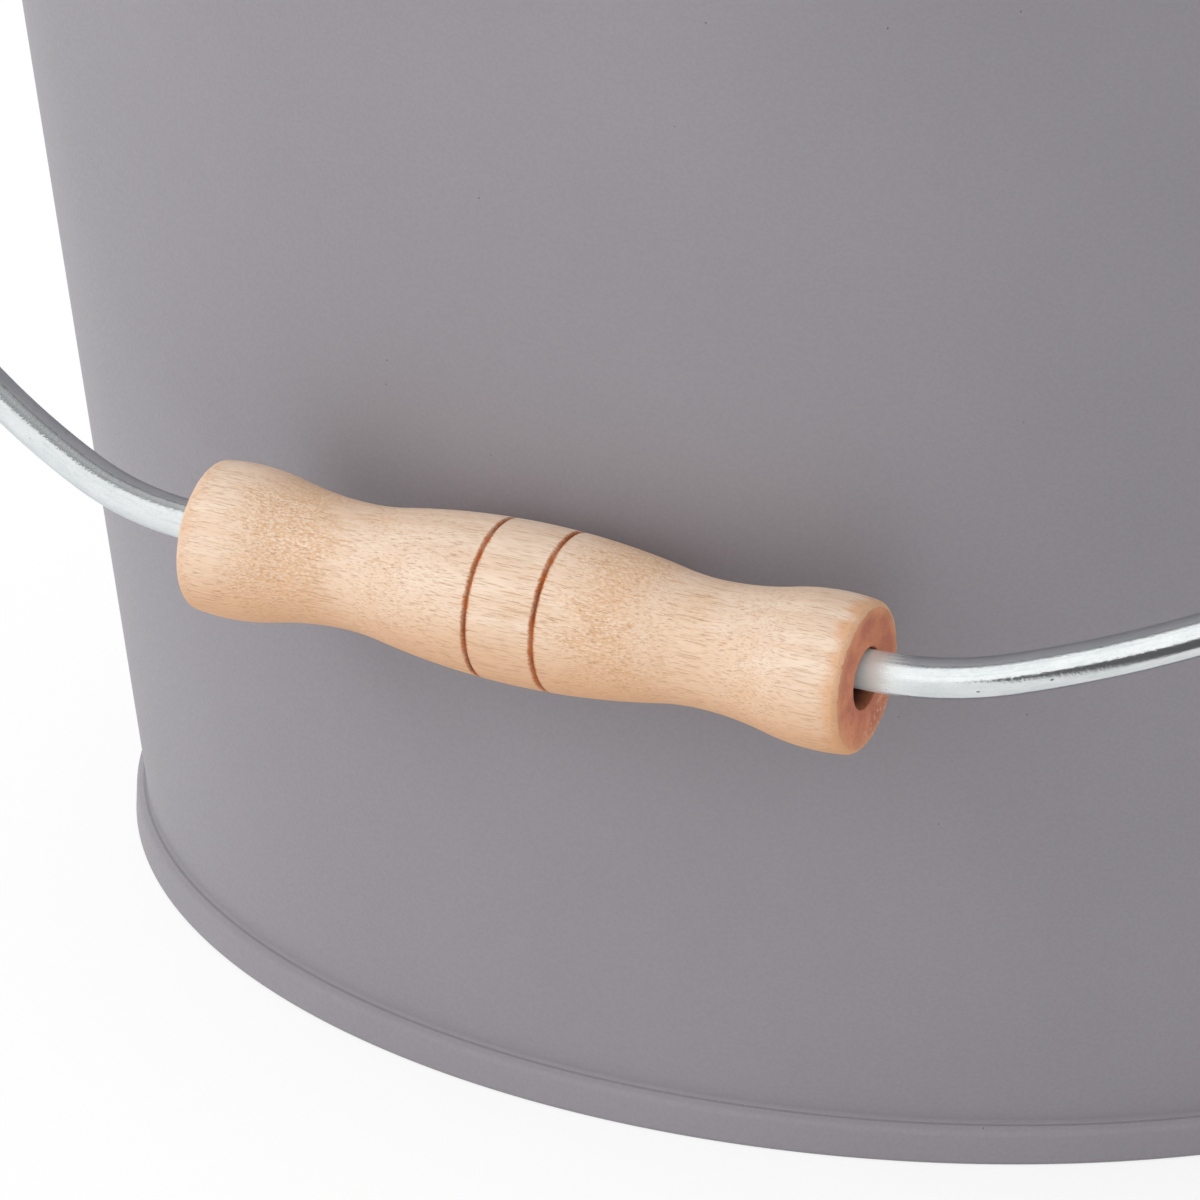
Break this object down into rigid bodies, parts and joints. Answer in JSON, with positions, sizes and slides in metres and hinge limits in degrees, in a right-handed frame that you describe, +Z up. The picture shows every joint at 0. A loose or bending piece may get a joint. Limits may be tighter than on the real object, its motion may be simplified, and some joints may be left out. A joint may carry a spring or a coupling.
{
  "type": "ash bucket with lid",
  "caption": "Tapered round steel bucket for hot ash, with a seamed base, a swinging wire bail with a turned wooden grip, and a loose pressed lid with a wooden knob.",
  "frame": {"origin": "middle of the base, at floor level", "axes": "+Z up, +X along the bail's axis towards the right ear, -Y towards the side where the bail hangs"},
  "size_m": [0.374, 0.354, 0.311],
  "materials": {
    "coated_steel": "matt grey powder coat",
    "coated_base": "matt grey powder coat",
    "zinc_wire": "galvanised, soft sheen with lengthwise streaks",
    "plated_steel": "zinc plated",
    "rim_steel": "plain drawn wire",
    "turned_wood": "turned beech, sanded, without varnish"
  },
  "bodies": {
    "bucket": {"bucket_wall": "coated_steel", "rim_wire": "rim_steel", "base_pan": "coated_base", "ash_floor": "coated_steel", "left_ear": "coated_steel", "right_ear": "coated_steel", "left_ear_rivets": "coated_steel", "right_ear_rivets": "coated_steel"},
    "bail": {"bail_wire": "zinc_wire"},
    "grip": {"bail_grip": "turned_wood"},
    "lid": {"lid_shell": "coated_steel", "lid_knob": "turned_wood", "knob_collar": "plated_steel", "knob_screw": "plated_steel", "knob_washer": "plated_steel"}
  },
  "joints": [
    {"name": "bail_swing", "type": "hinge", "parent": "bucket", "child": "bail", "pos_m": [0, 0, 0.23], "axis": [-1, 0, 0], "range_deg": [0, 263.6]},
    {"name": "grip_spin", "type": "hinge", "parent": "bail", "child": "grip", "pos_m": [0, -0.15344, 0.09269], "axis": [1, 0, 0], "continuous": true},
    {"name": "lid_lift", "type": "slide", "parent": "bucket", "child": "lid", "axis": [0, 0, 1], "range_m": [0, 0.12]}
  ]
}
